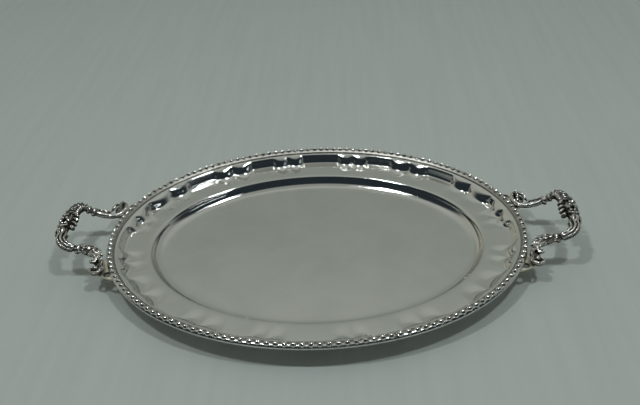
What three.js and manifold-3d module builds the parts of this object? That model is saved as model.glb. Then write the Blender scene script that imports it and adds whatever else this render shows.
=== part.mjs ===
// Oval serving tray with a beaded rim and two cast scroll handles.
// Millimetres, +Z up. The tray stands on z = 0, centred on the Z axis, with the handles along X.
import * as THREE from "three";
import { mergeVertices } from "three/addons/utils/BufferGeometryUtils.js";
import Module from "manifold-3d";

const wasm = await Module();
wasm.setup();

// ---- driving dimensions ----
const BEAD_ROW_A = 199; // half length of the oval through the bead centres
const BEAD_ROW_B = 151; // half width of the same oval
const BEAD_ROW_Z = 21.8; // height of the bead centres above the table
const BEAD_COUNT = 151;
const BEAD_TOP = 2.5; // crown of a bead above its centre
const BEAD_VALLEY = 0.5; // strip between two beads, above the bead centres
const JOINT_GAP = 0.5; // butt joint in the border strip
const JOINT_AT = 0.816; // where the joint is, as a share of the way round from +X

const SHEET = 1.0; // thickness of the tray's metal sheet
const LOBE_DEPTH = 6; // how far a lobe of the scalloped wall stands in from the panels
const FLOOR_INSET = 50; // from the bead row in to where the flat floor starts

const ARM_RADIUS = 3.5;
const GRIP_X = 241; // centre line of the grip
const GRIP_RISE = 14; // grip above the bead row
const CORNER_Y = 28.5; // where the grip turns into the arms
const HANDLE_TURN = THREE.MathUtils.degToRad(0.65); // both handles sit slightly turned on the oval
const FOOT_X = 202;
const FOOT_Y = 48.5;
const FOOT_RADIUS = 7;
const FOOT_HEIGHT = 9;

const LUG_THICKNESS = 1.8;
const LUG_HOLE_RADIUS = 3; // open hole between the rim and the handle's foot
const SCREW_RADIUS = 1.7;
const SCREW_HEAD_RADIUS = 3.8;
const SCREW_HEAD_HEIGHT = 2.2;
const SCREW_REACH = 8; // shank above the lug's top face
const CLEARANCE = 0.3;
const LUG_TOP = -3.7; // lug's top face, just under the rim, from the bead row
const FOOT_BASE = LUG_TOP + CLEARANCE;

// ---- materials ----
const metal = (color, roughness) =>
  new THREE.MeshStandardMaterial({ color, roughness, metalness: 1 });
const polishedSilver = metal(0xd6d4cc, 0.12);
const borderSilver = metal(0xcfccc2, 0.2);
const castSilver = metal(0xa9a498, 0.32);
const lugMetal = metal(0xb5ae9c, 0.4);
const screwSteel = metal(0x9a9a98, 0.35);

// ---- the oval and its scalloped wall ----
const beadRow = new THREE.EllipseCurve(0, 0, BEAD_ROW_A, BEAD_ROW_B, 0, 2 * Math.PI);
beadRow.arcLengthDivisions = 4000;
const PERIMETER = beadRow.getLength();

// The point at a share of the way round, moved outwards by `offset` along the oval's normal.
function ovalPoint(share, offset, z) {
  const wrapped = share - Math.floor(share);
  const centre = beadRow.getPointAt(wrapped);
  const tangent = beadRow.getTangentAt(wrapped);
  return new THREE.Vector3(centre.x + tangent.y * offset, centre.y - tangent.x * offset, z);
}

// One quarter of the wall, from the middle of a long side to the end of the tray.
// Each entry is the width in millimetres along the bead row; lobes stand in, panels stay back.
const wallQuarter = [
  { width: 21, lobe: false },
  { width: 17, lobe: true },
  { width: 17, lobe: true },
  { width: 27, lobe: false },
  { width: 22, lobe: true },
  { width: 22, lobe: true },
  { width: 33, lobe: false },
  { width: 24, lobe: true },
  { width: 30, lobe: true },
  { width: 9, lobe: false },
  { width: 19, lobe: true },
  { width: 19, lobe: true },
];
const LOBE_STEPS = 3;
const PANEL_STEPS = 2;

// Stations round one quarter: distance from the middle of the long side, and the wall's inset there.
function quarterStations() {
  const stations = [];
  let start = 0;
  for (const { width, lobe } of wallQuarter) {
    const steps = lobe ? LOBE_STEPS : PANEL_STEPS;
    for (let step = 0; step < steps; step += 1) {
      const inset = lobe ? LOBE_DEPTH * Math.sqrt(Math.sin((Math.PI * step) / steps)) : 0;
      stations.push({ distance: start + (width * step) / steps, inset });
    }
    start += width;
  }
  stations.push({ distance: start, inset: 0 });
  return stations;
}

// All stations, counterclockwise from +X, as shares of the way round.
function wallStations() {
  const quarter = quarterStations();
  const all = [];
  for (const middle of [0.25, 0.75]) {
    for (const side of [-1, 1]) {
      for (const { distance, inset } of quarter) {
        if (distance > 0 || side > 0) {
          all.push({ share: middle + (side * distance) / PERIMETER, inset });
        }
      }
    }
  }
  return all.sort((one, other) => one.share - other.share);
}

// ---- tray pan ----
// Upper face from the rim's edge inwards: outward offset from the bead row, height from the
// bead row, and how much of the lobes' inset the point takes.
const panProfile = [
  { offset: 2.0, height: -2.3, follow: 0 },
  { offset: -4.4, height: -2.1, follow: 0 },
  { offset: -6.8, height: -2.2, follow: 1 },
  { offset: -7.9, height: -3.4, follow: 1 },
  { offset: -9.0, height: -8.2, follow: 1 },
  { offset: -11.4, height: -10.2, follow: 0.95 },
  { offset: -18.0, height: -11.0, follow: 0.4 },
  { offset: -35.6, height: -11.6, follow: 0 },
  { offset: -38.2, height: -13.0, follow: 0 },
  { offset: -41.6, height: -17.6, follow: 0 },
  { offset: -45.0, height: -20.0, follow: 0 },
  { offset: -FLOOR_INSET, height: -BEAD_ROW_Z + SHEET, follow: 0 },
];

// The lower face is the upper one moved by the sheet's thickness across the local slope.
function lowerFace(upper) {
  return upper.map((point, index) => {
    const before = upper[Math.max(index - 1, 0)];
    const after = upper[Math.min(index + 1, upper.length - 1)];
    const flat = index === 0 || index === upper.length - 1;
    const run = flat ? 1 : before.offset - after.offset;
    const rise = flat ? 0 : before.height - after.height;
    const length = Math.hypot(run, rise);
    return {
      offset: point.offset + (SHEET * rise) / length,
      height: point.height - (SHEET * run) / length,
      follow: point.follow,
    };
  });
}

function trayPan() {
  const stations = wallStations();
  const lower = lowerFace(panProfile).reverse();
  const rows = [...lower, ...panProfile];
  const floorBottom = new THREE.Vector2(0, lower[0].height);
  const floorTop = new THREE.Vector2(0, panProfile.at(-1).height);
  const outline = rows.map((row) => new THREE.Vector2(BEAD_ROW_B + row.offset, row.height));
  const geometry = new THREE.LatheGeometry([floorBottom, ...outline, floorTop], stations.length);
  const position = geometry.attributes.position;
  const perStation = rows.length + 2;
  for (let index = 0; index < position.count; index += 1) {
    const station = stations[Math.floor(index / perStation) % stations.length];
    const row = rows[(index % perStation) - 1];
    const point = row
      ? ovalPoint(station.share, row.offset - row.follow * station.inset, row.height)
      : new THREE.Vector3(0, 0, index % perStation === 0 ? floorBottom.y : floorTop.y);
    position.setXYZ(index, point.x, point.y, point.z);
  }
  return geometry;
}

// ---- beaded border strip ----
// Section of the strip: outward offset and height from the bead row. The points marked `crown`
// rise and fall along the strip to form the beads.
const stripSection = [
  { offset: -4.2, height: -1.8 },
  { offset: 2.4, height: -1.9 },
  { offset: 2.5, height: -3.3 },
  { offset: 3.4, height: -3.3 },
  { offset: 3.6, height: -2.2 },
  { offset: 2.3, height: 1.3, crown: 0.6 },
  { offset: 0, height: BEAD_TOP, crown: 1 },
  { offset: -2.3, height: 1.3, crown: 0.6 },
  { offset: -4.2, height: -1.1 },
];

function beadBorder() {
  const outline = stripSection.map(({ offset, height }) => new THREE.Vector2(offset, height));
  const length = PERIMETER - JOINT_GAP;
  const geometry = new THREE.ExtrudeGeometry(new THREE.Shape(outline), {
    depth: length,
    steps: 2 * BEAD_COUNT - 1,
    bevelEnabled: false,
  });
  const position = geometry.attributes.position;
  for (let index = 0; index < position.count; index += 1) {
    const offset = position.getX(index);
    let height = position.getY(index);
    const along = position.getZ(index);
    const section = stripSection.find(
      (point) => Math.abs(point.offset - offset) < 0.01 && Math.abs(point.height - height) < 0.01,
    );
    const step = Math.round((along / length) * (2 * BEAD_COUNT - 1));
    if (section.crown && step % 2 === 0) {
      height -= section.crown * (BEAD_TOP - BEAD_VALLEY);
    }
    const share = JOINT_AT - (along + JOINT_GAP / 2) / PERIMETER;
    const point = ovalPoint(share, offset, height);
    position.setXYZ(index, point.x, point.y, point.z);
  }
  return geometry;
}

// ---- booleans ----
function toManifold(geometry) {
  const bare = geometry.clone();
  bare.deleteAttribute("normal");
  bare.deleteAttribute("uv");
  const merged = mergeVertices(bare, 1e-4);
  return new wasm.Manifold(
    new wasm.Mesh({
      numProp: 3,
      vertProperties: new Float32Array(merged.attributes.position.array),
      triVerts: new Uint32Array(merged.index.array),
    }),
  );
}

function toGeometry(solid) {
  const mesh = solid.getMesh();
  const geometry = new THREE.BufferGeometry();
  geometry.setAttribute("position", new THREE.BufferAttribute(mesh.vertProperties, 3));
  geometry.setIndex(new THREE.BufferAttribute(mesh.triVerts, 1));
  geometry.computeVertexNormals();
  return geometry;
}

function join(geometries) {
  return geometries.map(toManifold).reduce((whole, piece) => whole.add(piece));
}

// ---- cast handles ----
// Centre line of half a handle, from its foot to the middle of the grip.
const armLine = [
  [FOOT_X, FOOT_Y - 3, 0.4],
  [205, 38.5, 0.2],
  [211, 32, 1.6],
  [220, 29.8, 5.8],
  [230, 30.6, 11],
  [237.5, 27, GRIP_RISE],
  [GRIP_X, 18, GRIP_RISE],
  [GRIP_X, 0, GRIP_RISE],
];

// Rounded masses of the cast leaves and the flower: half sizes and centre.
const gripMasses = [
  { size: [8.8, 23, 5.5], place: [GRIP_X - 1, 0, GRIP_RISE] }, // leaves along the grip
  { size: [6.4, 13, 6.2], place: [GRIP_X + 1.6, 1, GRIP_RISE + 2.8] }, // flower
];
const armMasses = [
  { size: [8.2, 5.2, 5.2], place: [234.5, CORNER_Y, GRIP_RISE - 0.8] }, // corner shell
  { size: [2.4, 4.8, 4.8], place: [227, 30.2, 10] }, // ring
  { size: [4.2, 4.2, 4], place: [207.5, 41, 1] }, // curl beside the foot
];

function ellipsoid(size, place) {
  const geometry = new THREE.SphereGeometry(1, 10, 6);
  geometry.scale(...size);
  geometry.translate(...place);
  return geometry;
}

// A rounded disc lying flat, with its flat base on the lug.
function footScroll(x, y) {
  const rounding = 2;
  const outline = [
    new THREE.Vector2(0, 0),
    new THREE.Vector2(FOOT_RADIUS, 0),
    new THREE.Vector2(FOOT_RADIUS, FOOT_HEIGHT - rounding),
    new THREE.Vector2(FOOT_RADIUS - rounding, FOOT_HEIGHT),
    new THREE.Vector2(0, FOOT_HEIGHT),
  ];
  const geometry = new THREE.LatheGeometry(outline, 16);
  geometry.rotateX(Math.PI / 2);
  geometry.translate(x, y, FOOT_BASE);
  return geometry;
}

function screwBore(x, y) {
  const depth = SCREW_REACH + 1;
  const radius = SCREW_RADIUS + CLEARANCE;
  const geometry = new THREE.CylinderGeometry(radius, radius, 2 * depth, 12);
  geometry.rotateX(Math.PI / 2);
  geometry.translate(x, y, FOOT_BASE);
  return geometry;
}

// One handle. `right` is +1 or -1 along X: the two are mirror images.
function handle(right) {
  const half = armLine.map(([x, y, z]) => new THREE.Vector3(right * x, y, z));
  const otherHalf = half.slice(0, -1).reverse().map(({ x, y, z }) => new THREE.Vector3(x, -y, z));
  const bow = new THREE.CatmullRomCurve3([...half, ...otherHalf]);
  const section = new THREE.Shape();
  section.absarc(0, 0, ARM_RADIUS, 0, 2 * Math.PI);
  const pieces = [
    new THREE.ExtrudeGeometry(section, { steps: 34, curveSegments: 4, extrudePath: bow }),
  ];
  for (const { size, place } of gripMasses) {
    const [x, y, z] = place;
    pieces.push(ellipsoid(size, [right * x, y, z]));
  }
  for (const side of [-1, 1]) {
    for (const { size, place } of armMasses) {
      const [x, y, z] = place;
      pieces.push(ellipsoid(size, [right * x, side * y, z]));
    }
    pieces.push(footScroll(right * FOOT_X, side * FOOT_Y));
  }
  const bored = [-1, 1].reduce(
    (solid, side) => solid.subtract(toManifold(screwBore(right * FOOT_X, side * FOOT_Y))),
    join(pieces),
  );
  return toGeometry(bored);
}

// ---- lugs under the rim ----
// Plan of a lug, and the hole left open between the rim and the handle's foot.
const lugCorners = [
  [184.5, 62],
  [198, 57],
  [208, 50],
  [209, 41],
  [203, 34],
  [189.5, 32],
  [178.5, 57],
];
const LUG_HOLE_X = 191.5;
const LUG_HOLE_Y = 54;

// A flat gusset from under the rim out to the handle's foot. `right` is +1 or -1 along X,
// `back` is +1 or -1 along Y.
function lug(right, back) {
  const plate = new THREE.Shape(lugCorners.map(([x, y]) => new THREE.Vector2(right * x, back * y)));
  const openHole = new THREE.Path();
  openHole.absarc(right * LUG_HOLE_X, back * LUG_HOLE_Y, LUG_HOLE_RADIUS, 0, 2 * Math.PI);
  const screwHole = new THREE.Path();
  screwHole.absarc(right * FOOT_X, back * FOOT_Y, SCREW_RADIUS + CLEARANCE, 0, 2 * Math.PI);
  plate.holes.push(openHole, screwHole);
  const geometry = new THREE.ExtrudeGeometry(plate, {
    depth: LUG_THICKNESS,
    curveSegments: 5,
    bevelEnabled: false,
  });
  geometry.translate(0, 0, LUG_TOP - LUG_THICKNESS);
  return geometry;
}

// ---- handle screws ----
function screw() {
  const headTop = LUG_TOP - LUG_THICKNESS - CLEARANCE;
  const outline = [
    new THREE.Vector2(0, headTop - SCREW_HEAD_HEIGHT),
    new THREE.Vector2(SCREW_HEAD_RADIUS - 1, headTop - SCREW_HEAD_HEIGHT),
    new THREE.Vector2(SCREW_HEAD_RADIUS, headTop - SCREW_HEAD_HEIGHT + 1),
    new THREE.Vector2(SCREW_HEAD_RADIUS, headTop),
    new THREE.Vector2(SCREW_RADIUS, headTop),
    new THREE.Vector2(SCREW_RADIUS, LUG_TOP + SCREW_REACH - 1),
    new THREE.Vector2(SCREW_RADIUS - 0.7, LUG_TOP + SCREW_REACH),
    new THREE.Vector2(0, LUG_TOP + SCREW_REACH),
  ];
  const body = new THREE.LatheGeometry(outline, 12);
  body.rotateX(Math.PI / 2);
  const slot = new THREE.BoxGeometry(3 * SCREW_HEAD_RADIUS, 1, 2);
  slot.translate(0, 0, headTop - SCREW_HEAD_HEIGHT);
  return toGeometry(toManifold(body).subtract(toManifold(slot)));
}

// ---- assembly ----
const tray = new THREE.Group();
const handles = new THREE.Group();
tray.position.z = BEAD_ROW_Z;
handles.rotation.z = HANDLE_TURN;
tray.add(handles);

function add(parent, name, geometry, material) {
  const mesh = new THREE.Mesh(geometry, material);
  mesh.name = name;
  parent.add(mesh);
  return mesh;
}

add(tray, "tray_pan", trayPan(), polishedSilver);
add(tray, "bead_border", beadBorder(), borderSilver);
for (const [sideName, right] of Object.entries({ left: -1, right: 1 })) {
  add(handles, `handle_${sideName}`, handle(right), castSilver);
  for (const [endName, back] of Object.entries({ front: -1, back: 1 })) {
    add(handles, `lug_${sideName}_${endName}`, lug(right, back), lugMetal);
    const fixing = add(handles, `screw_${sideName}_${endName}`, screw(), screwSteel);
    fixing.position.set(right * FOOT_X, back * FOOT_Y, 0);
  }
}

export default tray;
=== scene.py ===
"""Looks of an oval silver-plated serving tray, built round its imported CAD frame.

Shapes are worked out in millimetres in the row frame: +X to the right handle, +Y to the back,
+Z up, with the tray standing on z = 0. to_object() turns them into metres.
"""
import math

import bmesh
import bpy
import numpy as np
from mathutils import Matrix, Vector
from mathutils.bvhtree import BVHTree


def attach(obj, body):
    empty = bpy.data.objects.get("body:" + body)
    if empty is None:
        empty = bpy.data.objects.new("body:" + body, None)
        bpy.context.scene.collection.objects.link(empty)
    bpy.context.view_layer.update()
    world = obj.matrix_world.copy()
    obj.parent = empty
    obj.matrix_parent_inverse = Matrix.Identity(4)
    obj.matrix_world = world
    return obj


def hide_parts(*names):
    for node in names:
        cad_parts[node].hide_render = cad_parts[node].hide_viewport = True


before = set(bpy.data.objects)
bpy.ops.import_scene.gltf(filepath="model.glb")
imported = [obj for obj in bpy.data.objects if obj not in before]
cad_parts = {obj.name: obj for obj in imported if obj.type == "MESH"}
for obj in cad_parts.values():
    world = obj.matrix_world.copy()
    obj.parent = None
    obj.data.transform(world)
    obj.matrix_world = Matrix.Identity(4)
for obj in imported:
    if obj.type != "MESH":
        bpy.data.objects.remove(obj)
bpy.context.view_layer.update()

MM = 0.001
rng = np.random.default_rng(7)

# ---- measures shared with the CAD, in millimetres ----
ROW_A = 199.0  # half length of the oval through the bead centres
ROW_B = 151.0  # half width of the same oval
ROW_Z = 21.8  # height of the bead centres above the table
BEAD_COUNT = 151
BEAD_TOP = 2.5
JOINT_GAP = 0.5
JOINT_AT = 0.816  # where the border's butt joint is, as a share of the way round from +X
SHEET = 1.0
FOOT_X = 202.0
FOOT_Y = 48.5
HANDLE_TURN = math.radians(0.65)
LUG_TOP = -3.7
LUG_THICKNESS = 1.8

Z_AXIS = np.array([0.0, 0.0, 1.0])


# ---- mesh helpers ----
def unit(vectors):
    return vectors / np.linalg.norm(vectors, axis=-1, keepdims=True)


def smoothstep(low, high, values):
    share = np.clip((values - low) / (high - low), 0, 1)
    return share * share * (3 - 2 * share)


class Shells:
    """Gathers closed shells, each a stack of rings with a fan over both ends."""

    def __init__(self):
        self.vertices = []
        self.faces = []
        self.count = 0

    def add(self, rings, loop=False):
        """rings is an array of stations x points round x 3. With loop, the last ring joins the first."""
        stations, around, _ = rings.shape
        start = self.count
        self.vertices.append(rings.reshape(-1, 3))
        self.count += stations * around
        index = start + np.arange(stations * around).reshape(stations, around)
        beyond = np.roll(index, -1, axis=1)
        last = stations if loop else stations - 1
        for one in range(last):
            other = (one + 1) % stations
            quads = np.stack([index[one], beyond[one], beyond[other], index[other]], axis=-1)
            self.faces.extend(quads.tolist())
        if not loop:
            for ring, flip in ((0, True), (stations - 1, False)):
                self.vertices.append(rings[ring].mean(axis=0, keepdims=True))
                for here, there in zip(index[ring].tolist(), beyond[ring].tolist()):
                    self.faces.append([there, here, self.count] if flip else [here, there, self.count])
                self.count += 1

    def points(self):
        return np.concatenate(self.vertices)


def to_object(name, points, faces, smooth=True):
    """A mesh object from millimetres in the row frame, with its normals turned outwards."""
    mesh = bpy.data.meshes.new(name)
    mesh.from_pydata((points * MM).tolist(), [], faces)
    work = bmesh.new()
    work.from_mesh(mesh)
    bmesh.ops.recalc_face_normals(work, faces=work.faces)
    work.to_mesh(mesh)
    work.free()
    mesh.polygons.foreach_set("use_smooth", [smooth] * len(mesh.polygons))
    piece = bpy.data.objects.new(name, mesh)
    bpy.context.scene.collection.objects.link(piece)
    return piece


def set_attribute(piece, name, values):
    attribute = piece.data.attributes.new(name, "FLOAT", "POINT")
    attribute.data.foreach_set("value", np.asarray(values, np.float32))


def bake(piece):
    """Turns what the piece's modifiers make of it into its own mesh."""
    whole = bpy.data.meshes.new_from_object(piece.evaluated_get(bpy.context.evaluated_depsgraph_get()))
    piece.modifiers.clear()
    piece.data = whole
    return piece


def read_points(mesh):
    flat = np.empty(len(mesh.vertices) * 3, np.float32)
    mesh.vertices.foreach_get("co", flat)
    return flat.reshape(-1, 3).astype(float)


def round_corners(rows, times):
    """Cuts the corners of an open line of points again and again, and keeps its ends."""
    for _ in range(times):
        near = 0.75 * rows[:-1] + 0.25 * rows[1:]
        far = 0.25 * rows[:-1] + 0.75 * rows[1:]
        cut = np.stack([near, far], axis=1).reshape(-1, rows.shape[1])
        rows = np.concatenate([rows[:1], cut[1:-1], rows[-1:]])
    return rows


# ---- the oval ----
OVAL_ANGLE = np.linspace(0, 2 * math.pi, 40001)
OVAL_STEPS = np.hypot(
    np.diff(ROW_A * np.cos(OVAL_ANGLE)),
    np.diff(ROW_B * np.sin(OVAL_ANGLE)),
)
OVAL_LENGTH = np.concatenate([[0.0], np.cumsum(OVAL_STEPS)])
PERIMETER = OVAL_LENGTH[-1]


def oval_frame(share):
    """Centre, tangent and outward normal at shares of the way round the bead row."""
    angle = np.interp((share % 1.0) * PERIMETER, OVAL_LENGTH, OVAL_ANGLE)
    flat = np.zeros_like(angle)
    centre = np.stack([ROW_A * np.cos(angle), ROW_B * np.sin(angle), flat], axis=-1)
    tangent = unit(np.stack([-ROW_A * np.sin(angle), ROW_B * np.cos(angle), flat], axis=-1))
    outward = np.stack([tangent[..., 1], -tangent[..., 0], flat], axis=-1)
    return centre, tangent, outward


def oval_points(share, offset, height):
    """Points moved outwards from the bead row by offset, at a height above the bead row."""
    centre, _, outward = oval_frame(share)
    return centre + outward * offset[..., None] + Z_AXIS * (ROW_Z + height)[..., None]


# ---- tray pan ----
# Widths along the bead row from the middle of a long side to the end of the tray.
WALL_QUARTER = (
    ("panel", 21), ("lobe", 17), ("lobe", 17), ("panel", 27), ("lobe", 22), ("lobe", 22),
    ("panel", 33), ("lobe", 24), ("lobe", 30), ("panel", 9), ("lobe", 19), ("lobe", 19),
)
# Upper face, first on a panel and then at the crown of a lobe: outward offset and height, both
# from the bead row. The last value is how softly the lobe fades in from its sides.
PAN_PROFILE = np.array([
    (1.7, -2.3, 1.7, -2.3, 0.5),
    (-4.4, -2.0, -4.4, -2.0, 0.5),
    (-6.2, -2.3, -6.4, -2.3, 0.5),
    (-7.2, -3.0, -8.8, -3.0, 0.5),
    (-8.4, -6.2, -11.8, -5.4, 0.5),
    (-10.0, -10.2, -13.6, -8.8, 0.5),
    (-10.8, -11.0, -15.0, -10.9, 0.5),
    (-12.6, -11.15, -17.4, -11.6, 0.7),
    (-18.0, -11.2, -21.0, -12.3, 1.4),
    (-27.0, -11.4, -28.5, -11.5, 1.5),
    (-35.6, -11.6, -35.6, -11.6, 1.5),
    (-37.2, -11.9, -37.2, -11.9, 1.0),
    (-38.2, -13.4, -38.2, -13.4, 1.0),
    (-39.3, -16.0, -39.3, -16.0, 1.0),
    (-40.9, -18.3, -40.9, -18.3, 1.0),
    (-43.4, -20.0, -43.4, -20.0, 1.0),
    (-46.4, -20.7, -46.4, -20.7, 1.0),
    (-50.0, SHEET - ROW_Z, -50.0, SHEET - ROW_Z, 1.0),
])
PAN_STATIONS = 1208
CREASE_ROUNDING = 2
FLOOR_RINGS = (0.95, 0.8, 0.6, 0.4, 0.2, 0.05)


def wall_lobes(share):
    """How far the scalloped wall stands in, from 0 on a panel to 1 at the crown of a lobe."""
    distance = PERIMETER * np.abs(share % 0.5 - 0.25)
    inset = np.zeros_like(distance)
    start = 0
    for kind, width in WALL_QUARTER:
        if kind == "lobe":
            across = np.clip((distance - start) / width, 0, 1)
            inset = np.maximum(inset, np.sin(math.pi * across))
        start += width
    return inset


def below(profile):
    """The same profile for the under face, one sheet thickness down."""
    under = profile.copy()
    for start in (0, 2):
        line = profile[:, start:start + 2]
        slope = unit(np.gradient(line, axis=0))
        slope[[0, -1]] = (-1, 0)
        under[:, start] -= SHEET * slope[:, 1]
        under[:, start + 1] += SHEET * slope[:, 0]
    return under


def soften(values):
    """Rounds the creases between lobes, as pressed sheet is rounded."""
    for _ in range(CREASE_ROUNDING):
        values = (np.roll(values, 1) + 2 * values + np.roll(values, -1)) / 4
    return values


def pan_face(profile, share, lobes):
    """Rings of the pan from its edge to the middle of the floor."""
    rings = []
    for offset, height, lobe_offset, lobe_height, softness in profile:
        inset = soften(lobes**softness)
        outwards = offset + inset * (lobe_offset - offset)
        rise = height + inset * (lobe_height - height)
        rings.append(oval_points(share, outwards, rise))
    floor_edge = rings[-1]
    middle = floor_edge.mean(axis=0)
    for scale in FLOOR_RINGS:
        rings.append(middle + (floor_edge - middle) * scale)
    return rings


def build_pan():
    share = np.arange(PAN_STATIONS) / PAN_STATIONS
    lobes = wall_lobes(share)
    upper = pan_face(round_corners(PAN_PROFILE, 2), share, lobes)
    under = pan_face(below(round_corners(PAN_PROFILE, 1)), share, lobes)
    shells = Shells()
    shells.add(np.array(under[::-1] + upper))
    return to_object("pan_skin", shells.points(), shells.faces)


# ---- beaded border ----
# Section of the strip under the beads: outward offset and height from the bead row.
STRIP_SECTION = np.array([
    (-4.0, -1.8), (-4.1, -1.3), (-3.7, -0.95), (-3.1, -0.75), (-2.3, -0.1), (-1.2, 0.35),
    (0.0, 0.5), (1.1, 0.35), (2.2, -0.1), (2.7, -0.7), (3.0, -0.85), (3.2, -1.05),
    (3.3, -1.5), (3.35, -2.1), (3.3, -2.7), (3.1, -3.0), (2.7, -3.1), (2.3, -1.9),
])
STRIP_STATIONS = 4 * BEAD_COUNT + 1
STRIP_LESS_DARKENED = 1.0  # outward of this offset the strip gets less painted shade and tarnish
STRIP_TARNISH_AND_SHADE = (0.42, 0.85)  # darkening outward of that offset, and inward of it: painted shade with tarnish
BEAD_HALF_LENGTH = 2.75
BEAD_HALF_WIDTH = 2.7
BEAD_CENTRE = -0.5
BEAD_SEAT = -1.4  # the flat underside of the beads, inside the strip and clear of the pan
BEAD_DETAIL = (20, 11)  # points round a bead, and rings from pole to pole
BEAD_UNEVENNESS = 0.018  # how much the beads differ in size, as a share
BEAD_SHIFT = 0.07  # how far they stray along the strip


def ball(meridians, parallels):
    """Unit ball as rings from pole to pole."""
    turn = np.arange(meridians) / meridians * 2 * math.pi
    tilt = np.linspace(0, math.pi, parallels + 2)[1:-1]
    ring = np.stack([np.cos(turn), np.sin(turn), np.zeros_like(turn)], axis=-1)
    return ring[None] * np.sin(tilt)[:, None, None] - Z_AXIS * np.cos(tilt)[:, None, None]


def build_border():
    shells = Shells()
    length = PERIMETER - JOINT_GAP
    along = np.linspace(0, length, STRIP_STATIONS)
    share = JOINT_AT - (along + JOINT_GAP / 2) / PERIMETER
    lines = [
        oval_points(share, np.full_like(share, offset), np.full_like(share, height))
        for offset, height in STRIP_SECTION
    ]
    shells.add(np.stack(lines, axis=1))
    strip_points = shells.count
    bead = ball(*BEAD_DETAIL)
    middle = (np.arange(BEAD_COUNT) + 0.5) * length / BEAD_COUNT
    centre, tangent, outward = oval_frame(JOINT_AT - (middle + JOINT_GAP / 2) / PERIMETER)
    for index in range(BEAD_COUNT):
        spread = 1 + rng.normal(0, BEAD_UNEVENNESS, 3)
        shift = rng.normal(0, BEAD_SHIFT)
        rise = (BEAD_TOP - BEAD_CENTRE) * spread[2]
        sizes = np.array([BEAD_HALF_LENGTH, BEAD_HALF_WIDTH, rise])
        local = bead * sizes * np.array([spread[0], spread[1], 1])
        local[..., 2] = np.maximum(local[..., 2], BEAD_SEAT - BEAD_CENTRE)
        axes = np.stack([tangent[index], outward[index], Z_AXIS])
        place = centre[index] + tangent[index] * shift + Z_AXIS * (ROW_Z + BEAD_CENTRE)
        shells.add(local @ axes + place)
    piece = to_object("border_beading", shells.points(), shells.faces)
    points = read_points(piece.data) / MM
    # Painted shade with tarnish: the beads darken towards their feet, and the strip more on its inner side
    # than on its outer roll.
    tarnish_and_shade = smoothstep(0.6, -1.0, points[:, 2] - ROW_Z)
    section = np.tile(STRIP_SECTION, (strip_points // len(STRIP_SECTION) + 1, 1))[:strip_points]
    tarnish_and_shade[:strip_points] = np.where(section[:, 0] > STRIP_LESS_DARKENED, *STRIP_TARNISH_AND_SHADE)
    set_attribute(piece, "tarnish_and_shade", tarnish_and_shade)
    return piece


# ---- cast handles ----
# The right handle, with heights from the bead row. The left one is its mirror image.
GRIP_PATH = (
    (228.0, 30.8, 9.8), (233.4, 31.2, 13.4), (238.2, 27.0, 14.6), (240.5, 19.4, 14.4),
    (240.8, 9.0, 14.0), (240.8, 0.0, 14.0), (240.8, -9.0, 14.0), (240.6, -19.0, 14.0),
    (238.4, -26.0, 13.8), (233.8, -30.0, 12.4), (228.0, -30.4, 9.6),
)
# The arms run from their rings to the scrolls under the rim, the back one plainer than the front.
ARM_BACK = (
    (231.6, 30.8, 11.8), (225.0, 30.0, 8.4), (218.0, 29.4, 5.0), (211.5, 30.0, 2.6),
    (205.6, 31.6, 1.0), (201.1, 34.8, 0.2), (198.1, 39.6, 0.4), (196.4, 45.2, 0.8),
    (198.0, 50.4, 1.2), (202.2, 53.0, 1.4), (206.6, 51.2, 1.4), (208.4, 46.6, 1.4),
    (208.6, 41.6, 1.8), (210.6, 37.0, 2.2),
)
ARM_FRONT = (
    (231.6, -30.8, 11.8), (225.0, -30.0, 8.4), (218.0, -30.2, 5.2), (212.2, -32.0, 3.8),
    (206.2, -34.6, 3.2), (201.6, -38.4, 2.6), (198.4, -43.6, 1.4), (197.0, -49.4, 0.6),
    (198.8, -54.4, 0.2), (202.8, -56.4, 0.0), (206.8, -54.2, 0.2), (207.4, -50.2, 0.8),
    (204.8, -48.2, 1.2),
)
# Two collars where an arm meets the grip, placed by steps along the arm's path.
COLLAR_RADII = (4.2, 4.7)
COLLAR_START = 2
COLLAR_STEP = 11
COLLAR_SWELL = np.array([0.62, 0.84, 0.95, 0.99, 1.0, 0.99, 0.95, 0.84, 0.62])
FRONT_CURL = (
    (212.0, -32.4, 4.4), (208.0, -35.6, 4.8), (204.4, -39.4, 4.2),
    (204.8, -43.4, 3.2), (208.2, -43.8, 3.0), (208.8, -41.0, 3.2),
)
FRONT_FILLER = ((222.0, -28.6, 7.0), (214.0, -29.2, 5.4), (207.0, -31.4, 4.4), (201.6, -35.6, 3.2))
# Rows of rounded masses: direction, half sizes, and the centre of each.
FRONT_MASSES = (
    ((1, 0, 0), (2.5, 2.5, 2.8), ((202.4, -51.4, 1.6),)),  # eye of the volute
    ((1, 0, 0), (5.8, 7.2, 1.5), ((202.6, -50.6, -1.9),)),  # base of the volute
    ((0.4, 1, 0), (4.6, 3.0, 1.6), ((205.2, -40.2, 0.6),)),
)
BACK_MASSES = (
    # leaf tips on the outer edge
    ((1, 0.6, 0), (2.5, 1.5, 1.6), (
        (222.4, 33.2, 8.8), (218.4, 33.4, 7.2), (214.4, 33.6, 5.6), (210.6, 34.2, 4.2),
    )),
    # beaded ridge inside the volute
    ((1, 0, 0), (1.6, 1.4, 1.5), (
        (200.6, 38.4, 3.4), (201.0, 41.4, 4.2), (201.2, 44.4, 4.8), (201.0, 47.4, 5.2),
        (200.4, 50.2, 4.8),
    )),
    # base of the volute
    ((1, 0, 0), (5.4, 7.4, 2.0), ((202.6, 45.0, -1.4),)),
    # ribs on the volute's end
    ((1, -0.5, 0), (2.2, 1.2, 1.3), (
        (206.4, 47.4, 3.8), (207.4, 44.0, 3.8), (207.8, 40.6, 3.8),
    )),
)
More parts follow.
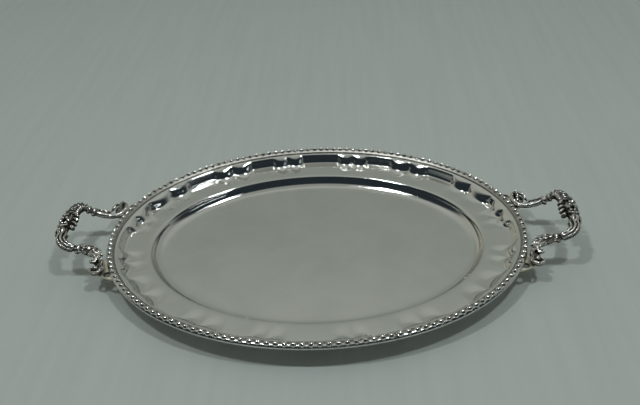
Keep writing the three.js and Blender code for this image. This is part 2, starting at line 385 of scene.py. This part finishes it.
# Leaves: centre line, half width, thickness, teeth and crown.
FRONT_LEAVES = (
    (
        ((224.0, -27.6, 9.4), (215.0, -27.0, 8.4), (206.8, -28.4, 6.8), (198.6, -35.8, 4.0)),
        4.0, 1.3, 5, 1.0,
    ),
    (
        ((223.5, -31.8, 9.6), (219.0, -33.2, 8.4), (214.0, -34.6, 6.2)),
        2.8, 1.3, 3, 0.6,
    ),
    (
        ((206.0, -34.6, 5.8), (201.4, -38.8, 5.2), (198.4, -43.6, 4.2), (197.2, -48.4, 3.2)),
        2.0, 1.2, 4, 0.6,
    ),
)
GRIP_LEAVES = (
    (
        ((241.0, -8.8, 17.4), (242.0, -12.4, 19.0), (241.4, -16.2, 18.4), (239.8, -20.0, 16.6)),
        3.8, 1.6, 0, 1.5,
    ),
    (
        ((245.4, -9.0, 16.2), (246.4, -13.0, 16.8), (245.4, -17.4, 16.0), (243.0, -22.0, 14.6)),
        2.6, 1.6, 3, 0.6,
    ),
)
LEAF_STATIONS = 44
# Ribs across the grip's back corner: where they start along it, their pitch and half sizes.
RIB_START = 4.6
RIB_PITCH = 2.9
RIB_HALF_LENGTH = 1.35
RIB_SIZES = (4.4, 5.2, 5.8, 6.2, 6.4, 6.4, 6.3, 6.0)
GATHERED_TURNS = range(-60, 300, 45)  # degrees round the grip, one for each gathered rib
GATHERED_STEPS = slice(184, 276)  # the part of the grip's path that they cover
INNER_ROW_Y = (13.2, 7.0, 0.8, -5.4)
# Leaf tips outside the grip: y, how far out they reach, and height.
OUTER_TIPS = (
    (19.0, 248.2, 15.8), (12.8, 249.8, 15.8), (6.6, 250.2, 15.2), (0.4, 249.8, 14.6),
    (-5.6, 249.0, 13.8),
)
FLOWER_PLACE = (243.0, 1.2, 18.7)
FLOWER_FACING = (0.15, -0.3, 1.0)
FLOWER_RADIUS = 5.6
FLOWER_PETALS = 6
GRIP_SCROLL = ((247.6, -5.4, 17.4), (244.4, -7.4, 19.4), (240.4, -6.8, 19.4), (238.6, -4.0, 18.6))
SCROLL_STATIONS = 50
LUMP_DETAIL = (18, 11)  # points round a mass, and rings from pole to pole
VOXEL = 0.3
HOLLOW_REACH = 5.0
HOLLOW_RAYS = 18
# Painted shade under the handles: how much faces that look down darken.
UNDERSIDE_PAINTED_SHADE = 0.4


def spline(points, count):
    """A smooth line through the points, with any number of values in each."""
    points = np.asarray(points, float)
    ends = np.concatenate([[2 * points[0] - points[1]], points, [2 * points[-1] - points[-2]]])
    share = np.linspace(0, len(points) - 1, count)
    start = np.minimum(share.astype(int), len(points) - 2)
    t = (share - start).reshape(-1, *[1] * (points.ndim - 1))
    before, here, there, after = (ends[start + step] for step in range(4))
    return 0.5 * (
        2 * here + (there - before) * t
        + (2 * before - 5 * here + 4 * there - after) * t**2
        + (3 * here - before - 3 * there + after) * t**3
    )


def outline(count, upper):
    """A closed unit section: a round underside, and on top the height that upper() gives."""
    turn = np.arange(count) / count * 2 * math.pi
    side, lift = np.cos(turn), np.sin(turn)
    return np.stack([side, np.where(lift > 0, upper(side, np.maximum(lift, 0)), lift)], axis=-1)


ROUND = outline(28, lambda side, lift: lift)
TWIN_RIDGE = outline(48, lambda side, lift: 0.85 * lift**0.5 + 0.22 * np.cos(8.0 * side))


def axes_along(path):
    ahead = unit(np.gradient(path, axis=0))
    side = unit(np.cross(ahead, np.broadcast_to(Z_AXIS, path.shape)))
    return ahead, side, np.cross(side, ahead)


def tube(shells, path, wide, high=None, section=ROUND):
    """Sweeps a section along a path, with half widths and half heights along the way."""
    _, side, lift = axes_along(path)
    wide = np.broadcast_to(wide, len(path))
    high = wide if high is None else np.broadcast_to(high, len(path))
    across = section[None, :, 0] * wide[:, None]
    above = section[None, :, 1] * high[:, None]
    shells.add(path[:, None] + side[:, None] * across[..., None] + lift[:, None] * above[..., None])


def beside(path, turn, reach):
    """A line beside the path, at a reach, turned round it from its side towards its top."""
    _, side, lift = axes_along(path)
    turn = np.broadcast_to(turn, len(path))[:, None]
    reach = np.broadcast_to(reach, len(path))[:, None]
    return path + reach * (np.cos(turn) * side + np.sin(turn) * lift)


def lump(shells, place, ahead, sizes, up=Z_AXIS):
    """A rounded mass: half sizes along `ahead`, across it and upwards."""
    ahead = unit(np.asarray(ahead, float))
    side = unit(np.cross(up, ahead))
    lift = np.cross(ahead, side)
    shells.add(ball(*LUMP_DETAIL) * np.array(sizes) @ np.stack([ahead, side, lift]) + np.array(place))


def taper(count, start, middle, end):
    """Half widths that swell from the start to the middle and fall away to a rounded end."""
    return spline([start, middle, middle, end], count) * np.sqrt(np.linspace(1, 0.06, count))


def masses(shells, rows):
    for ahead, sizes, places in rows:
        for place in places:
            lump(shells, place, ahead, sizes)


def leaf(shells, line, width, thick, teeth, crown):
    """A ribbed leaf along a line, with a groove down its middle and a toothed edge."""
    path = spline(line, LEAF_STATIONS)
    share = np.linspace(0, 1, LEAF_STATIONS)
    half = width * np.sin(math.pi * np.clip(share, 0.02, 0.985) ** 0.8) ** 0.7
    half = half * (1 - 0.34 * np.abs(np.sin(math.pi * teeth * share))) + 0.1
    _, side, lift = axes_along(path)
    v = np.linspace(-1, 1, 17)
    ribs = 0.55 * np.cos(2 * math.pi * teeth * share[:, None] + 3.5 * np.abs(v)) if teeth else 0
    top = (crown + ribs) * (1 - v**2) - 0.9 * np.exp(-((v / 0.2) ** 2))
    upper = path[:, None] + side[:, None] * (v * half[:, None])[..., None]
    upper = upper + lift[:, None] * (top * thick * np.minimum(1, half / 1.5)[:, None])[..., None]
    lower = upper[:, ::-1] - lift[:, None] * thick
    shells.add(np.concatenate([upper, lower], axis=1))


def collar(shells, path):
    """The two collars where an arm meets the grip."""
    for index, radius in enumerate(COLLAR_RADII):
        start = COLLAR_START + COLLAR_STEP * index
        tube(shells, path[start:start + len(COLLAR_SWELL)], radius * COLLAR_SWELL)


def front_arm(shells):
    """The front arm: twin ridges, a broad leaf on its inner bend, a curl and the large volute."""
    count = 170
    path = spline(ARM_FRONT, count)
    tube(shells, path, taper(count, 2.8, 3.2, 2.5), taper(count, 2.7, 2.9, 3.0), TWIN_RIDGE)
    collar(shells, path)
    tube(shells, spline(FRONT_CURL, SCROLL_STATIONS), np.linspace(1.9, 1.3, SCROLL_STATIONS))
    masses(shells, FRONT_MASSES)
    tube(shells, spline(FRONT_FILLER, SCROLL_STATIONS), 1.9)
    for line, width, thick, teeth, crown in FRONT_LEAVES:
        leaf(shells, line, width, thick, teeth, crown)


def back_arm(shells):
    """The back arm: a smooth bar, leaf tips on its outer edge, and a ring round a beaded ridge."""
    count = 190
    path = spline(ARM_BACK, count)
    tube(shells, path, taper(count, 2.8, 2.9, 1.9) + 0.2, taper(count, 2.7, 2.8, 2.5) + 0.2, ROUND)
    collar(shells, path)
    masses(shells, BACK_MASSES)


def wrap(shells, path):
    """Plump ribs across the grip's back corner."""
    ahead, side, lift = axes_along(path)
    length = np.concatenate([[0], np.cumsum(np.linalg.norm(np.diff(path, axis=0), axis=1))])
    for index, size in enumerate(RIB_SIZES):
        step = int(np.searchsorted(length, RIB_START + RIB_PITCH * index))
        lean = unit(ahead[step] + 0.25 * side[step])
        sizes = (RIB_HALF_LENGTH, size, size * 0.92)
        lump(shells, path[step] + 0.3 * lift[step], lean, sizes, up=lift[step])
        knob = path[step] + 0.8 * size * side[step] + 0.4 * size * lift[step]
        lump(shells, knob, lean, (RIB_HALF_LENGTH, 2.1, 1.9), up=lift[step])


def gathered_ribs(shells, path):
    """Long rounded ribs that gather from the grip's front corner into the ring."""
    count = len(path)
    reach = np.linspace(4.7, 3.2, count)
    for turn in GATHERED_TURNS:
        twist = np.radians(turn + np.linspace(0, 55, count))
        size = np.linspace(1.5, 1.1, count) * np.sin(np.linspace(0.5, 2.3, count)) ** 0.5
        tube(shells, beside(path, twist, reach), size)


def flower(shells, place, facing, radius, petals):
    """Rounded petals round a hollow centre."""
    facing = unit(np.array(facing, float))
    right = unit(np.cross(facing, np.array([0.0, 1.0, 0.0])))
    level = np.cross(facing, right)
    for index in range(petals):
        turn = 2 * math.pi * index / petals
        out = math.cos(turn) * right + math.sin(turn) * level
        middle = place + out * radius * 0.66 + facing * 0.4
        lump(shells, middle, out - 0.3 * facing, (radius * 0.36, radius * 0.31, 1.7), up=facing)


def garland(shells):
    """The ornament along the top: slanting lumps inside, leaf tips outside, and a flower between."""
    for y in INNER_ROW_Y:
        lump(shells, (234.6 + 0.006 * y * y, y, 15.2), (0.75, 0.62, -0.3), (4.9, 2.3, 3.2))
    for y, reach, rise in OUTER_TIPS:
        lump(shells, (reach - 3.2, y, rise + 0.8), (1.0, 0.25, -0.25), (3.4, 2.5, 2.4))
        lump(shells, (reach - 6.6, y - 0.8, rise + 2.2), (1.0, 0.25, 0.2), (1.6, 1.5, 1.6))
    flower(shells, np.array(FLOWER_PLACE), FLOWER_FACING, FLOWER_RADIUS, FLOWER_PETALS)
    tube(shells, spline(GRIP_SCROLL, SCROLL_STATIONS), np.linspace(1.5, 1.1, SCROLL_STATIONS))
    for line, width, thick, teeth, crown in GRIP_LEAVES:
        leaf(shells, line, width, thick, teeth, crown)


def grip(shells):
    count = 280
    path = spline(GRIP_PATH, count)
    share = np.linspace(0, 1, count)
    tube(shells, path, 2.3 + 0.9 * np.sin(math.pi * share), 2.3 + 0.7 * np.sin(math.pi * share))
    wrap(shells, path)
    gathered_ribs(shells, path[GATHERED_STEPS])
    garland(shells)


def weld(shells, name):
    """Joins the shells into one skin, as a casting is, with soft inner corners."""
    piece = to_object(name, shells.points() + Z_AXIS * ROW_Z, shells.faces)
    remesh = piece.modifiers.new("weld", "REMESH")
    remesh.mode = "VOXEL"
    remesh.voxel_size = VOXEL * MM
    remesh.use_smooth_shade = True
    smooth = piece.modifiers.new("soften", "SMOOTH")
    smooth.factor = 0.5
    smooth.iterations = 1
    return bake(piece)


def tarnish_and_shade_amount(mesh):
    """Painted shade with tarnish at each vertex: the share of directions that meet the piece again, which
    darkens the hollows, plus more on faces that look down.
    """
    tree = BVHTree.FromPolygons([v.co for v in mesh.vertices], [p.vertices for p in mesh.polygons])
    turn = np.arange(HOLLOW_RAYS) * math.pi * (3 - math.sqrt(5))
    rise = (np.arange(HOLLOW_RAYS) + 0.5) / HOLLOW_RAYS
    flat = np.sqrt(1 - rise**2)
    fan = np.stack([flat * np.cos(turn), flat * np.sin(turn), rise], axis=-1)
    reach = HOLLOW_REACH * MM
    found = np.zeros(len(mesh.vertices))
    for index, vertex in enumerate(mesh.vertices):
        normal = vertex.normal
        turned = fan @ np.array(normal.to_track_quat("Z", "X").to_matrix()).T
        start = vertex.co + normal * (0.15 * MM)
        hits = 0.0
        for ray in turned.tolist():
            distance = tree.ray_cast(start, ray, reach)[3]
            if distance is not None:
                hits += 1 - 0.5 * distance / reach
        # Painted shade: enclosed places and faces that look down darken, together with tarnish in the
        # hollows.
        found[index] = hits / HOLLOW_RAYS + UNDERSIDE_PAINTED_SHADE * smoothstep(0.15, -0.35, normal.z)
    return found


def turn_with_handles(piece):
    """Turns a piece as the CAD turns its group of handles, lugs and screws."""
    piece.data.transform(Matrix.Rotation(HANDLE_TURN, 4, "Z"))


def build_handles():
    shells = Shells()
    grip(shells)
    front_arm(shells)
    back_arm(shells)
    right = weld(shells, "handle_right_cast")
    set_attribute(right, "tarnish_and_shade", tarnish_and_shade_amount(right.data))
    left = right.copy()
    left.data = right.data.copy()
    left.name = left.data.name = "handle_left_cast"
    bpy.context.scene.collection.objects.link(left)
    left.data.transform(Matrix.Scale(-1, 4, (1, 0, 0)))
    left.data.flip_normals()
    for piece in (right, left):
        turn_with_handles(piece)
    return {"handle_right": right, "handle_left": left}


# ---- lugs and screws ----
LUG_CORNERS = (
    (184.5, 62.0), (197.4, 56.8), (206.6, 49.6), (208.6, 41.0), (203.0, 34.0), (189.5, 32.0), (178.5, 57.0),
)
LUG_HOLE = (191.5, 54.0, 3.0)  # x, y and radius
LUG_HOLE_POINTS = 40
SCREW_HOLE_RADIUS = 2.0
SCREW_HOLE_POINTS = 28
LUG_BEVEL = 0.35
# Half section of a screw's head: radius, and height above the lug's lower face.
SCREW_HEAD = ((0.8, -2.45), (1.8, -2.35), (2.8, -2.0), (3.5, -1.4), (3.8, -0.7), (3.75, -0.35), (3.6, -0.3))
SCREW_RADIUS = 1.6
SCREW_TIP = (1.2, 4.2)  # radius, and height above the lug's upper face
SCREW_POINTS = 40
THREAD_PITCH = 0.8
THREAD_DEPTH = 0.1
SLOT_SIZE = (9.0, 1.0, 2.2)
SHARP_ANGLE = math.radians(35)


def circle(x, y, radius, count):
    turn = np.arange(count) / count * 2 * math.pi
    return np.stack([x + radius * np.cos(turn), y + radius * np.sin(turn)], axis=-1)


def rounded_loop(rows, times):
    for _ in range(times):
        beyond = np.roll(rows, -1, axis=0)
        rows = np.stack([0.75 * rows + 0.25 * beyond, 0.25 * rows + 0.75 * beyond], axis=1).reshape(-1, 2)
    return rows


def build_lug(name, right, back):
    """A flat plate with rounded corners, an open hole and a screw hole. right and back are +1 or -1."""
    work = bmesh.new()
    edge = rounded_loop(np.array(LUG_CORNERS), 3)
    screw_hole = circle(FOOT_X, FOOT_Y, SCREW_HOLE_RADIUS, SCREW_HOLE_POINTS)
    for loop in (edge, circle(*LUG_HOLE, LUG_HOLE_POINTS), screw_hole):
        height = ROW_Z + LUG_TOP
        corners = [work.verts.new((x * right * MM, y * back * MM, height * MM)) for x, y in loop]
        for one, other in zip(corners, corners[1:] + corners[:1]):
            work.edges.new((one, other))
    bmesh.ops.triangle_fill(work, use_beauty=True, edges=work.edges)
    grown = bmesh.ops.extrude_face_region(work, geom=work.faces[:])["geom"]
    lower = [item for item in grown if isinstance(item, bmesh.types.BMVert)]
    bmesh.ops.translate(work, verts=lower, vec=(0, 0, -LUG_THICKNESS * MM))
    bmesh.ops.recalc_face_normals(work, faces=work.faces)
    mesh = bpy.data.meshes.new(name)
    work.to_mesh(mesh)
    work.free()
    mesh.polygons.foreach_set("use_smooth", [True] * len(mesh.polygons))
    piece = bpy.data.objects.new(name, mesh)
    bpy.context.scene.collection.objects.link(piece)
    worn = piece.modifiers.new("worn_edges", "BEVEL")
    worn.width = LUG_BEVEL * MM
    worn.segments = 3
    worn.limit_method = "ANGLE"
    worn.harden_normals = True
    return bake(piece)


def build_screw(name, right, back, turned):
    """A slotted screw that holds the handle's foot from below."""
    bottom = LUG_TOP - LUG_THICKNESS
    length = LUG_TOP + SCREW_TIP[1] - bottom
    climb = np.arange(0, length, THREAD_PITCH / 4)
    wave = np.cos(climb * 2 * math.pi / THREAD_PITCH)
    shank = np.stack([SCREW_RADIUS + THREAD_DEPTH * wave, climb], axis=-1)
    section = np.concatenate([SCREW_HEAD, shank, [(SCREW_TIP[0], length + 0.3)]])
    level = np.ones((SCREW_POINTS, 1))
    rings = [
        np.concatenate([circle(0, 0, radius, SCREW_POINTS), height * level], axis=1)
        for radius, height in section
    ]
    shells = Shells()
    shells.add(np.array(rings))
    piece = to_object(name, shells.points(), shells.faces)
    bpy.ops.mesh.primitive_cube_add(size=1)
    cutter = bpy.context.object
    cutter.data.transform(Matrix.Diagonal((*(size * MM for size in SLOT_SIZE), 1)))
    cutter.location.z = SCREW_HEAD[0][1] * MM
    slot = piece.modifiers.new("slot", "BOOLEAN")
    slot.object = cutter
    bake(piece)
    bpy.data.objects.remove(cutter)
    piece.data.set_sharp_from_angle(angle=SHARP_ANGLE)
    place = Vector((right * FOOT_X, back * FOOT_Y, ROW_Z + bottom)) * MM
    piece.data.transform(Matrix.Translation(place) @ Matrix.Rotation(turned, 4, "Z"))
    return piece


# ---- materials ----
def node_input(node, name, value):
    node.inputs[name].default_value = value


class Finish:
    """A metal material built from nodes, in the piece's own coordinates."""

    def __init__(self, name):
        self.material = bpy.data.materials.new(name)
        self.material.use_nodes = True
        self.tree = self.material.node_tree
        self.shader = self.tree.nodes["Principled BSDF"]
        self.place = self.add("ShaderNodeTexCoord").outputs["Object"]

    def add(self, kind, **settings):
        node = self.tree.nodes.new(kind)
        for key, value in settings.items():
            setattr(node, key, value)
        return node

    def link(self, source, target):
        self.tree.links.new(source, target)

    def noise(self, scale, detail=4.0, stretch=None, distortion=0.0):
        place = self.place
        if stretch:
            mapping = self.add("ShaderNodeMapping")
            node_input(mapping, "Scale", stretch)
            self.link(place, mapping.inputs["Vector"])
            place = mapping.outputs["Vector"]
        node = self.add("ShaderNodeTexNoise")
        node_input(node, "Scale", scale)
        node_input(node, "Detail", detail)
        node_input(node, "Distortion", distortion)
        self.link(place, node.inputs["Vector"])
        return node.outputs["Fac"]

    def remap(self, value, low, high, to_low, to_high):
        node = self.add("ShaderNodeMapRange", clamp=True)
        for name, number in zip(("From Min", "From Max", "To Min", "To Max"), (low, high, to_low, to_high)):
            node_input(node, name, number)
        self.link(value, node.inputs["Value"])
        return node.outputs["Result"]

    def math(self, operation, one, other):
        node = self.add("ShaderNodeMath", operation=operation)
        for socket, value in zip(node.inputs, (one, other)):
            if isinstance(value, (int, float)):
                socket.default_value = value
            else:
                self.link(value, socket)
        return node.outputs["Value"]

    def mix(self, share, one, other):
        node = self.add("ShaderNodeMix", data_type="RGBA")
        self.link(share, node.inputs[0])
        for socket, value in zip(node.inputs[6:8], (one, other)):
            if isinstance(value, tuple):
                socket.default_value = (*value, 1.0)
            else:
                self.link(value, socket)
        return node.outputs[2]

    def attribute(self, name):
        return self.add("ShaderNodeAttribute", attribute_name=name).outputs["Fac"]

    def bump(self, height, distance, strength=1.0, below=None):
        node = self.add("ShaderNodeBump")
        node_input(node, "Distance", distance)
        node_input(node, "Strength", strength)
        self.link(height, node.inputs["Height"])
        if below is not None:
            self.link(below, node.inputs["Normal"])
        return node.outputs["Normal"]


def silver_plate(name, clean, dull, roughness, wave=0.0, chasing=0.0, tarnish_and_shade_look=None, painted_hole_shade=None):
    """Polished plate: cloudy dull patches, wiping marks, fine scratches and, in the recesses, tarnish
    together with painted shade; round a lug's hole, a painted dark ring of shade.
    """
    finish = Finish(name)
    clouds = finish.remap(finish.noise(22, 5, distortion=0.6), 0.38, 0.68, 0, 1)
    smudges = finish.remap(finish.noise(60, 3), 0.45, 0.75, 0, 1)
    wiping = finish.noise(180, 2, stretch=(1.0, 0.12, 1.0))
    scratches = finish.noise(2400, 2, stretch=(0.04, 1.0, 0.3))
    colour = finish.mix(finish.math("MULTIPLY", clouds, 0.55), clean, dull)
    rough = finish.remap(finish.math("ADD", clouds, smudges), 0, 2, roughness[0], roughness[1])
    rough = finish.math("ADD", rough, finish.remap(wiping, 0.3, 0.7, -0.012, 0.012))
    if tarnish_and_shade_look:
        # Tarnish together with painted shade: the colour darkens where the piece's vertex darkening is
        # high.
        tarnish_and_shade = finish.attribute("tarnish_and_shade")
        worn = finish.noise(420, 4)
        edge = finish.math("ADD", tarnish_and_shade, finish.remap(worn, 0.3, 0.7, -0.18, 0.18))
        dark = finish.remap(edge, tarnish_and_shade_look["from"], tarnish_and_shade_look["to"], 0, tarnish_and_shade_look["share"])
        colour = finish.mix(dark, colour, tarnish_and_shade_look["colour"])
        rough = finish.math("ADD", rough, finish.math("MULTIPLY", dark, 0.35))
    if painted_hole_shade:
        # Painted shadow: a dark ring round the lug's open hole, so the hole looks deep in shade.
        straight = finish.add("ShaderNodeVectorRotate", rotation_type="Z_AXIS")
        straight.inputs["Angle"].default_value = -HANDLE_TURN
        finish.link(finish.place, straight.inputs["Vector"])
        folded = finish.add("ShaderNodeVectorMath", operation="ABSOLUTE")
        finish.link(straight.outputs["Vector"], folded.inputs[0])
        apart = finish.add("ShaderNodeVectorMath", operation="DISTANCE")
        finish.link(folded.outputs["Vector"], apart.inputs[0])
        apart.inputs[1].default_value = painted_hole_shade["centre"]
        near = finish.remap(apart.outputs["Value"], painted_hole_shade["inner"], painted_hole_shade["outer"], 0.95, 0.0)
        colour = finish.mix(near, colour, painted_hole_shade["colour"])
    finish.link(colour, finish.shader.inputs["Base Color"])
    finish.link(rough, finish.shader.inputs["Roughness"])
    normal = finish.bump(scratches, 0.000004)
    if wave:
        normal = finish.bump(finish.noise(14, 2), wave, below=normal)
    if chasing:
        normal = finish.bump(finish.noise(620, 2, distortion=0.8), chasing, below=normal)
    finish.link(normal, finish.shader.inputs["Normal"])
    node_input(finish.shader, "Metallic", 1.0)
    return finish.material


# ---- putting the pieces on ----
def place_piece(piece, node, material):
    piece.data.materials.clear()
    piece.data.materials.append(material)
    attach(piece, "root")
    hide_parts(node)


pan_plate = silver_plate("pan_plate", (0.80, 0.80, 0.77), (0.70, 0.705, 0.675), (0.055, 0.13), wave=0.0004)
# The border and the handles darken in their recesses and creases: tarnish together with painted shade, near
# black on the handles.
border_plate = silver_plate(
    "border_plate", (0.82, 0.81, 0.78), (0.72, 0.70, 0.65), (0.05, 0.13),
    tarnish_and_shade_look={"from": 0.30, "to": 0.85, "share": 0.80, "colour": (0.17, 0.16, 0.13)},
)
cast_plate = silver_plate(
    "cast_plate", (0.70, 0.685, 0.64), (0.48, 0.45, 0.40), (0.12, 0.26), chasing=0.00045,
    tarnish_and_shade_look={"from": 0.04, "to": 0.32, "share": 0.97, "colour": (0.026, 0.020, 0.014)},
)
LUG_MIDDLE = ROW_Z + LUG_TOP - LUG_THICKNESS / 2
HOLE_CENTRE = tuple(size * MM for size in (*LUG_HOLE[:2], LUG_MIDDLE))
# The lug's metal has a painted shadow ring round its open hole.
lug_metal = silver_plate(
    "lug_metal", (0.78, 0.745, 0.62), (0.60, 0.565, 0.44), (0.44, 0.60),
    painted_hole_shade={"centre": HOLE_CENTRE, "inner": 0.0034, "outer": 0.0048, "colour": (0.05, 0.04, 0.028)},
)
screw_steel = silver_plate("screw_steel", (0.52, 0.52, 0.51), (0.36, 0.34, 0.31), (0.22, 0.4))

place_piece(build_pan(), "tray_pan", pan_plate)
place_piece(build_border(), "bead_border", border_plate)
for node, handle in build_handles().items():
    place_piece(handle, node, cast_plate)
for right, side_name in ((1, "right"), (-1, "left")):
    for back, end_name in ((1, "back"), (-1, "front")):
        node = f"{side_name}_{end_name}"
        lug = build_lug(f"lug_{node}_plate", right, back)
        turn_with_handles(lug)
        place_piece(lug, f"lug_{node}", lug_metal)
        screw = build_screw(f"screw_{node}_steel", right, back, rng.uniform(0, math.pi))
        turn_with_handles(screw)
        place_piece(screw, f"screw_{node}", screw_steel)

# ---- floor ----
FLOOR_RADIUS = 12.0
# The floor glows a little, as painted fill light that lifts the shade under the tray, and glows more
# further out: two distances from the tray's middle, and the glow at each.
FLOOR_GLOW = (0.9, 3.2, 0.040, 0.6)


def build_floor():
    bpy.ops.mesh.primitive_circle_add(vertices=128, radius=FLOOR_RADIUS, fill_type="NGON")
    floor = bpy.context.object
    floor.name = "studio_floor"
    finish = Finish("pale_floor")
    streaks = finish.noise(90, 4, stretch=(1.0, 0.05, 1.0))
    patches = finish.noise(3, 3)
    colour = finish.mix(finish.remap(streaks, 0.35, 0.7, 0, 1), (0.53, 0.57, 0.53), (0.50, 0.54, 0.505))
    colour = finish.mix(finish.math("MULTIPLY", patches, 0.3), colour, (0.56, 0.595, 0.56))
    finish.link(colour, finish.shader.inputs["Base Color"])
    finish.link(finish.remap(patches, 0.3, 0.7, 0.5, 0.62), finish.shader.inputs["Roughness"])
    distance = finish.add("ShaderNodeVectorMath", operation="LENGTH")
    finish.link(finish.place, distance.inputs[0])
    glow = finish.remap(distance.outputs["Value"], *FLOOR_GLOW)
    finish.link(colour, finish.shader.inputs["Emission Color"])
    finish.link(glow, finish.shader.inputs["Emission Strength"])
    floor.data.materials.append(finish.material)


build_floor()


# ---- light ----
WORLD_PALE = (0.26, 0.285, 0.26)
WORLD_SEEN = (0.42, 0.45, 0.43)
# Each step changes the colour where one direction axis passes from low to high.
WORLD_STEPS = (
    ("Z", 0.40, 0.05, (0.10, 0.11, 0.105)),
    ("X", 0.28, 0.50, (0.28, 0.30, 0.28)),
    ("X", -0.28, -0.50, (0.36, 0.36, 0.31)),
    ("Z", 0.56, 0.75, (0.35, 0.375, 0.345)),
    ("Z", 0.76, 0.88, (0.40, 0.42, 0.395)),
    ("Y", 0.30, -0.05, (0.019, 0.026, 0.031)),
    ("Z", 0.86, 0.98, (0.27, 0.285, 0.265)),
    ("Z", 0.16, 0.02, (0.22, 0.24, 0.23)),
)
LAMP_COLOUR = (0.92, 0.98, 1.0)
LAMP_DISTANCE = 2.0
# Turn and rise in degrees, size in metres, power in watts, and whether it lights the floor.
LAMPS = (
    ("strip_right_high", 108, 63, (0.9, 0.016), 0.6, False),
    ("strip_right_low", 120, 20, (1.0, 0.015), 0.5, False),
    ("strip_left_high", -112, 65, (0.6, 0.016), 0.5, False),
    ("lamp_left", -102, 72, (0.14, 0.14), 7.0, True),
    ("lamp_right", 102, 72, (0.14, 0.14), 7.0, True),
    ("sparkle_left", -38, 74, (0.10, 0.09), 3.0, False),
    ("sparkle_right", 72, 73, (0.10, 0.09), 3.0, False),
)


def area_light(name, place, aim, size, power, colour):
    data = bpy.data.lights.new(name, "AREA")
    data.shape = "RECTANGLE"
    data.size, data.size_y = size
    data.energy = power
    data.color = colour
    lamp = bpy.data.objects.new(name, data)
    lamp.location = place
    lamp.rotation_euler = (Vector(aim) - Vector(place)).to_track_quat("-Z", "Y").to_euler()
    lamp.visible_camera = False
    bpy.context.scene.collection.objects.link(lamp)
    return lamp


def build_world():
    """A studio pale behind the tray and dark round the camera, and plain where the camera sees it."""
    world = bpy.data.worlds.new("studio")
    bpy.context.scene.world = world
    world.use_nodes = True
    tree = world.node_tree
    backdrop = tree.nodes["Background"]
    parts = tree.nodes.new("ShaderNodeSeparateXYZ")
    tree.links.new(tree.nodes.new("ShaderNodeTexCoord").outputs["Generated"], parts.inputs[0])
    colour = WORLD_PALE
    for axis, low, high, shade in WORLD_STEPS:
        share = tree.nodes.new("ShaderNodeMapRange")
        share.interpolation_type = "SMOOTHSTEP"
        share.inputs["From Min"].default_value = low
        share.inputs["From Max"].default_value = high
        tree.links.new(parts.outputs[axis], share.inputs["Value"])
        mixer = tree.nodes.new("ShaderNodeMix")
        mixer.data_type = "RGBA"
        tree.links.new(share.outputs["Result"], mixer.inputs[0])
        for socket, value in zip(mixer.inputs[6:8], (colour, shade)):
            if isinstance(value, tuple):
                socket.default_value = (*value, 1.0)
            else:
                tree.links.new(value, socket)
        colour = mixer.outputs[2]
    tree.links.new(colour, backdrop.inputs["Color"])
    pale = tree.nodes.new("ShaderNodeBackground")
    pale.inputs["Color"].default_value = (*WORLD_SEEN, 1.0)
    either = tree.nodes.new("ShaderNodeMixShader")
    tree.links.new(tree.nodes.new("ShaderNodeLightPath").outputs["Is Camera Ray"], either.inputs[0])
    tree.links.new(backdrop.outputs[0], either.inputs[1])
    tree.links.new(pale.outputs[0], either.inputs[2])
    tree.links.new(either.outputs[0], tree.nodes["World Output"].inputs["Surface"])


def towards(turn, rise, distance):
    """A place seen from the tray: degrees clockwise from the back, and degrees up."""
    turn, rise = math.radians(turn), math.radians(rise)
    flat = distance * math.cos(rise)
    return (flat * math.sin(turn), flat * math.cos(turn), distance * math.sin(rise))


build_world()
for name, turn, rise, size, power, lights_floor in LAMPS:
    lamp = area_light(name, towards(turn, rise, LAMP_DISTANCE), (0, 0, 0), size, power, LAMP_COLOUR)
    lamp.visible_diffuse = lights_floor

# ---- camera ----
# In metres. The camera looks at a spot on the table just behind the tray's middle.
CAMERA_PLACE = (0.0486, -0.5818, 0.4672)
CAMERA_AIM = (0.0007, 0.0781, 0.0)
CAMERA_ROLL = math.radians(-3.545)
LENS = 42.6
SENSOR = 36.0


def build_camera():
    data = bpy.data.cameras.new("camera")
    data.lens = LENS
    data.sensor_width = SENSOR
    data.clip_start = 0.01
    data.clip_end = 50
    camera = bpy.data.objects.new("camera", data)
    place = Vector(CAMERA_PLACE)
    facing = (Vector(CAMERA_AIM) - place).to_track_quat("-Z", "Y").to_matrix().to_4x4()
    roll = Matrix.Rotation(CAMERA_ROLL, 4, "Z")
    camera.matrix_world = Matrix.Translation(place) @ facing @ roll
    bpy.context.scene.collection.objects.link(camera)
    bpy.context.scene.camera = camera


build_camera()
bpy.context.scene.view_settings.view_transform = "Standard"
